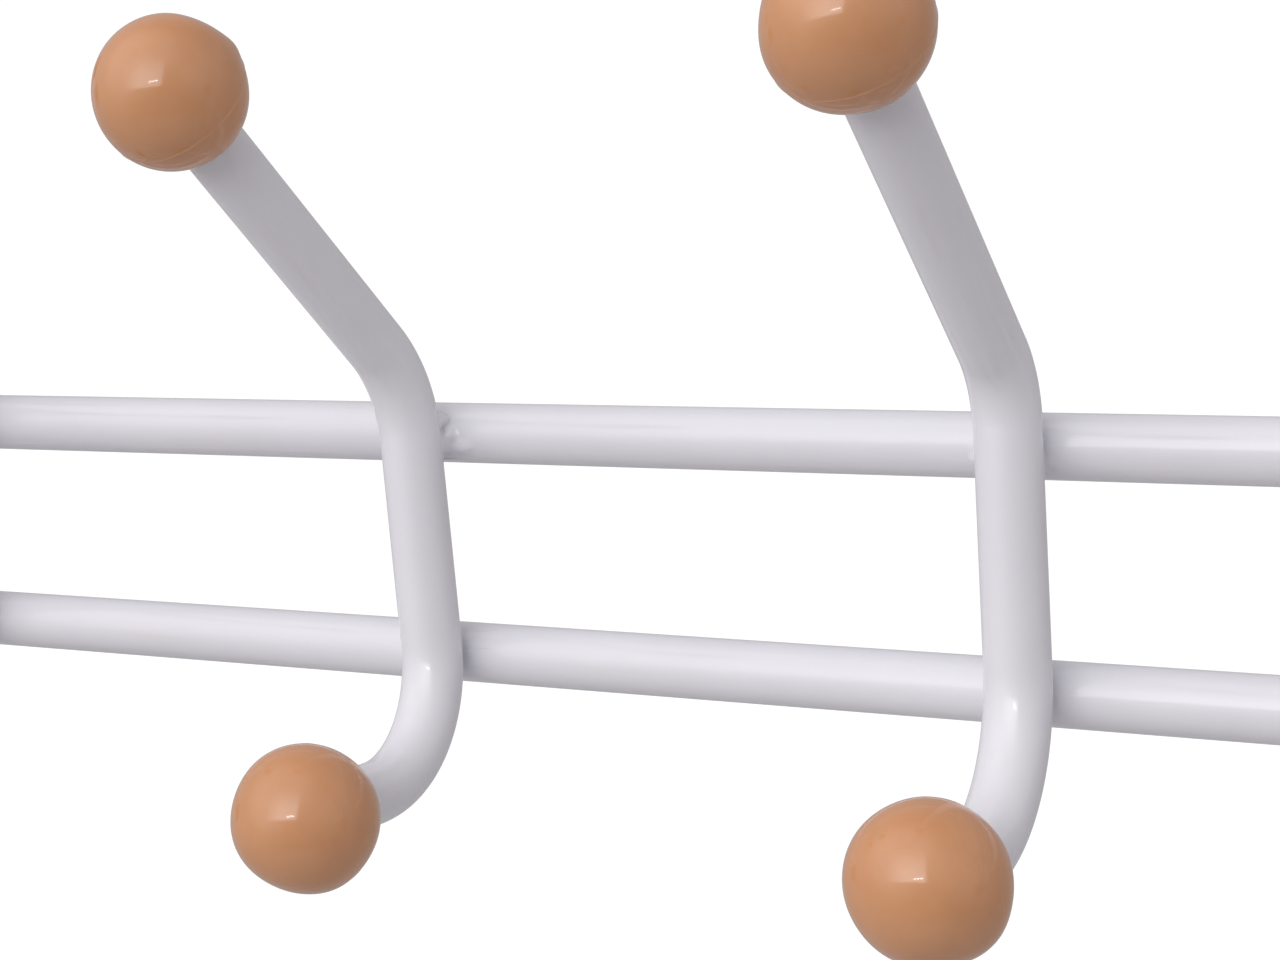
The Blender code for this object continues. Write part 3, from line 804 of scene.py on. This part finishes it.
def hexagon(height, apothem):
    """Ring of a hexagon about Z, with as many points as a small circle."""
    ring = []
    for i in range(SMALL_SIDES):
        turn = 2 * math.pi * i / SMALL_SIDES
        reach = apothem / math.cos((turn % (math.pi / 3)) - math.pi / 6)
        ring.append(Vector((reach * math.cos(turn), reach * math.sin(turn), height)))
    return ring


def button_head(name, steel):
    """Round-headed screw with a hexagon socket, in place of the CAD node of that name, head outwards."""
    low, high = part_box(name)
    sign = 1 if low.x > 0 else -1
    length = high.x - low.x
    head_radius = (high.z - low.z) / 2
    head_height = head_radius * 0.6
    shank = head_radius * 0.53
    key = head_radius * 0.36
    key_floor = head_height - head_height * 0.62
    ease = 0.2 * MM
    tip = head_height - length
    dome = [(head_radius * math.sin(a), head_height * (0.3 + 0.7 * math.cos(a)))
            for a in (math.pi / 2 * i / 10 for i in range(11))]
    profile = [(radius, height) for radius, height in dome if radius > key * 1.45]
    profile += [(head_radius, ease), (head_radius - ease, 0), (shank, 0), (shank, tip + 1 * MM),
                (shank * 0.8, tip), (0, tip)]
    rings = [[Vector((0, 0, key_floor))], hexagon(key_floor, key), hexagon(head_height - 0.25 * MM, key),
             hexagon(head_height, key + ease)]
    rings += [circle(radius, height, SMALL_SIDES) for radius, height in profile]
    shape = bmesh.new()
    skin(shape, rings)
    outer = high.x if sign > 0 else low.x
    place = (Matrix.Translation((outer, 0, (low.z + high.z) / 2))
             @ Matrix.Rotation(sign * math.pi / 2, 4, "Y") @ Matrix.Translation((0, 0, -head_height)))
    new_piece(name, shape, steel, matrix=place)


# ---------------------------------------------------------------- floor bows, collars and caps

def make_bow(side, sign, paint):
    """Floor bow: up from its front foot, back under the post and down to its other foot."""
    upwards, level, downwards = math.pi, math.pi / 2, 0
    flat = BOW_LEG_Y - BOW_BEND_RADIUS
    low = BOW_Z - BOW_BEND_RADIUS
    foot = CAP_FLOOR + GAP
    front = bend(-flat, low, BOW_BEND_RADIUS, upwards, level)
    back = bend(flat, low, BOW_BEND_RADIUS, level, downwards)
    stations = straight((-BOW_LEG_Y, foot), (-BOW_LEG_Y, low), upwards) + front[:-1]
    stations += straight((front[-1].y, front[-1].z), (back[0].y, back[0].z), level) + back[:-1]
    stations += straight((BOW_LEG_Y, low), (BOW_LEG_Y, foot), downwards)
    stations += [Station(BOW_LEG_Y, foot, downwards)]
    shape = bmesh.new()
    bent_tube(shape, stations, POST_RADIUS, TUBE_WALL)
    place = Matrix.Translation((sign * POST_X, 0, 0))
    new_piece(f"floor_bow_{side}", shape, paint, matrix=place)


def make_cap(end, side, plastic):
    """Cup with a rounded foot and grip grooves."""
    name = f"floor_cap_{end}_{side}"
    middle = centre(name)
    bore = POST_RADIUS + SOCKET_CLEARANCE
    groove_radius = CAP_RADIUS - CAP_GROOVE_DEPTH
    mouth, floor = CAP_GROOVE_WIDTH / 2, CAP_GROOVE_WIDTH / 4
    profile = [(0, CAP_FLOOR), (bore, CAP_FLOOR), (bore, CAP_HEIGHT - CAP_CHAMFER),
               (bore + CAP_CHAMFER, CAP_HEIGHT)]
    profile += quarter(CAP_RADIUS - CAP_MOUTH_ROUND, CAP_HEIGHT - CAP_MOUTH_ROUND, CAP_MOUTH_ROUND,
                       math.pi / 2)
    for height in CAP_GROOVES:
        profile += [(CAP_RADIUS, height + mouth), (groove_radius, height + floor),
                    (groove_radius, height - floor), (CAP_RADIUS, height - mouth)]
    profile += quarter(CAP_RADIUS - CAP_FOOT_ROUND, CAP_FOOT_ROUND, CAP_FOOT_ROUND, 0)
    profile += [(0, 0)]
    shape = bmesh.new()
    turned(shape, profile, TUBE_SIDES)
    new_piece(name, shape, plastic, matrix=Matrix.Translation((middle.x, middle.y, 0)))


def saddle_height(x, radius):
    """Height at which a collar's wall meets a bow of some radius, this far across from the bow's axis."""
    over = radius ** 2 - x ** 2
    return max(COLLAR_LOW_Z, BOW_Z + math.sqrt(over)) if over > 0 else COLLAR_LOW_Z


def collar_bead(sign):
    """Rings of the weld bead round a collar's foot."""
    rings = []
    for i in range(BALL_SIDES):
        turn = 2 * math.pi * i / BALL_SIDES
        outwards = Vector((math.cos(turn), math.sin(turn), 0))
        place = Vector((COLLAR_BEAD_WAVES * math.cos(turn), COLLAR_BEAD_WAVES * math.sin(turn), sign * 3.3))
        size = COLLAR_BEAD_RADIUS * (1 + COLLAR_BEAD_UNEVENNESS * noise.noise(place))
        foot = outwards * COLLAR_RADIUS
        foot.z = saddle_height(foot.x, POST_RADIUS)
        round_bead = (2 * math.pi * k / COLLAR_BEAD_SIDES for k in range(COLLAR_BEAD_SIDES))
        rings.append([foot + size * (math.cos(a) * outwards + math.sin(a) * Vector((0, 0, 1)))
                      for a in round_bead])
    return rings


def make_collar(side, sign, paint):
    """Collar that saddles the bow, with its weld bead."""
    def low_ring(radius):
        level = circle(radius, 0, BALL_SIDES)
        return [Vector((p.x, p.y, saddle_height(p.x, POST_RADIUS + SEAT_GAP))) for p in level]

    shape = bmesh.new()
    loop_skin(shape, [low_ring(COLLAR_RADIUS), circle(COLLAR_RADIUS, COLLAR_TOP_Z - COLLAR_RIM, BALL_SIDES),
                      circle(COLLAR_RADIUS - COLLAR_RIM * 0.3, COLLAR_TOP_Z - COLLAR_RIM * 0.3, BALL_SIDES),
                      circle(COLLAR_RADIUS - COLLAR_RIM, COLLAR_TOP_Z, BALL_SIDES),
                      circle(COLLAR_BORE, COLLAR_TOP_Z, BALL_SIDES), low_ring(COLLAR_BORE)])
    loop_skin(shape, collar_bead(sign))
    place = Matrix.Translation((sign * POST_X, 0, 0))
    new_piece(f"post_collar_{side}", shape, paint, matrix=place)


# ---------------------------------------------------------------- stage, light and camera

def make_stage():
    """Round floor under the rack."""
    shape = bmesh.new()
    radii = (0, FLOOR_PLAIN_RADIUS / 2, FLOOR_PLAIN_RADIUS, FLOOR_RADIUS)
    made = [add_ring(shape, circle(radius, 0, FLOOR_SIDES)) for radius in radii]
    fan(shape, made[0][0], made[1])
    for first, second in zip(made[1:], made[2:]):
        bridge(shape, first, second)
    bmesh.ops.recalc_face_normals(shape, faces=shape.faces)
    mesh = bpy.data.meshes.new("floor")
    shape.to_mesh(mesh)
    shape.free()
    mesh.materials.append(pale_floor())
    floor = bpy.data.objects.new("floor", mesh)
    bpy.context.scene.collection.objects.link(floor)


def towards(direction):
    """Unit vector in the world, from shares of the camera's right, its up and its way back."""
    right_share, up_share, back_share = direction
    right, down, forwards = camera_axes()
    return (right_share * right - up_share * down - back_share * forwards).normalized()


def make_surround():
    """Surround that the camera sees as plain white. Its light is a base with lobes."""
    world = bpy.data.worlds.new("surround")
    bpy.context.scene.world = world
    world.use_nodes = True
    tree = world.node_tree
    tree.nodes.clear()
    place = tree.nodes.new("ShaderNodeTexCoord")
    level = SURROUND_BASE
    for lobe in LOBES:
        dot = tree.nodes.new("ShaderNodeVectorMath")
        dot.operation = "DOT_PRODUCT"
        dot.inputs[1].default_value = towards(lobe.direction)
        tree.links.new(place.outputs["Generated"], dot.inputs[0])
        rise = smooth_rise(tree, dot.outputs["Value"], lobe.start, 1.0)
        level = calculation(tree, "ADD", calculation(tree, "MULTIPLY", rise, lobe.strength), level)
    soft = tree.nodes.new("ShaderNodeBackground")
    soft.inputs["Color"].default_value = (*SURROUND_TINT, 1)
    tree.links.new(level, soft.inputs["Strength"])
    plain = tree.nodes.new("ShaderNodeBackground")
    plain.inputs["Color"].default_value = (1, 1, 1, 1)
    plain.inputs["Strength"].default_value = SURROUND_SEEN
    path = tree.nodes.new("ShaderNodeLightPath")
    mixed = tree.nodes.new("ShaderNodeMixShader")
    output = tree.nodes.new("ShaderNodeOutputWorld")
    tree.links.new(path.outputs["Is Camera Ray"], mixed.inputs["Fac"])
    tree.links.new(soft.outputs["Background"], mixed.inputs[1])
    tree.links.new(plain.outputs["Background"], mixed.inputs[2])
    tree.links.new(mixed.outputs["Shader"], output.inputs["Surface"])


def add_softbox(box, target):
    """Rectangular softbox that faces the target, turned a little in its own plane."""
    light = bpy.data.lights.new(box.name, "AREA")
    light.shape = "RECTANGLE"
    light.size = box.width
    light.size_y = box.height
    light.energy = box.radiance * math.pi * box.width * box.height
    lamp = bpy.data.objects.new(box.name, light)
    away = towards(box.direction)
    lamp.location = target + away * box.distance
    lamp.rotation_mode = "QUATERNION"
    lamp.rotation_quaternion = away.to_track_quat("Z", "Y") @ Quaternion((0, 0, 1), SOFTBOX_ROLL)
    lamp.visible_camera = False
    bpy.context.scene.collection.objects.link(lamp)
    return light


def shade_softbox(light, fades):
    """Fades a softbox across its face. The fades are multiplied."""
    light.use_nodes = True
    tree = light.node_tree
    face = tree.nodes.new("ShaderNodeNewGeometry")
    split = tree.nodes.new("ShaderNodeSeparateXYZ")
    tree.links.new(face.outputs["Parametric"], split.inputs["Vector"])
    level = 1.0
    for fade in fades:
        rise = smooth_rise(tree, split.outputs[fade.axis], fade.dark, fade.bright)
        level = calculation(tree, "MULTIPLY", rise, level)
    tree.links.new(level, tree.nodes["Emission"].inputs["Strength"])


def camera_axes():
    """Unit vectors to the camera's right, down and forwards."""
    forwards = Vector((-math.sin(CAMERA_YAW) * math.cos(CAMERA_PITCH),
                       math.cos(CAMERA_YAW) * math.cos(CAMERA_PITCH), -math.sin(CAMERA_PITCH)))
    level = forwards.cross(Vector((0, 0, 1))).normalized()
    sunk = forwards.cross(level)
    right = math.cos(CAMERA_ROLL) * level + math.sin(CAMERA_ROLL) * sunk
    down = math.cos(CAMERA_ROLL) * sunk - math.sin(CAMERA_ROLL) * level
    return right, down, forwards


def make_camera(target):
    """The photo's camera, placed from a point on the rack."""
    right, down, forwards = camera_axes()
    data = bpy.data.cameras.new("camera")
    data.lens = CAMERA_LENS
    data.sensor_width = CAMERA_SENSOR
    data.clip_start = 0.01
    camera = bpy.data.objects.new("camera", data)
    turn = Matrix((right, -down, -forwards)).transposed().to_4x4()
    camera.matrix_world = Matrix.Translation(target + CAMERA_OFFSET) @ turn
    bpy.context.scene.collection.objects.link(camera)
    bpy.context.scene.camera = camera


# ---------------------------------------------------------------- the rack

bpy.context.scene.view_settings.view_transform = "Standard"
paint = white_powder_coat()
plastic = tan_ball_plastic()
caps = cap_plastic()
steel = plated_steel()

for rail in ("upper_hook_rail", "lower_hook_rail", "upper_brace_rail", "lower_brace_rail"):
    make_rail(rail, paint)
    for side in ("left", "right"):
        button_head(f"{rail}_bolt_{side}", steel)
        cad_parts[f"{rail}_plug_{side}"].material_slots[0].material = steel

for number in range(1, len(HOOKS) + 1):
    make_hook(number, paint)
    make_ball("upper", number, plastic)
    make_ball("lower", number, plastic)

for side, sign in (("left", -1), ("right", 1)):
    make_post(side, sign, paint)
    make_finial(side, sign, plastic)
    make_bow(side, sign, paint)
    make_collar(side, sign, paint)
    for end in ("front", "back"):
        make_cap(end, side, caps)
    button_head(f"sleeve_screw_{side}", steel)
    button_head(f"collar_screw_{side}", steel)
    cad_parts[f"post_sleeve_{side}"].material_slots[0].material = steel

pair_middle = Vector((-HOOK_PITCH / 2, 0, UPPER_RAIL_Z))
make_stage()
make_surround()
shade_softbox(add_softbox(KEY, pair_middle), KEY_FADES)
add_softbox(GLINT, pair_middle)
make_camera(pair_middle)
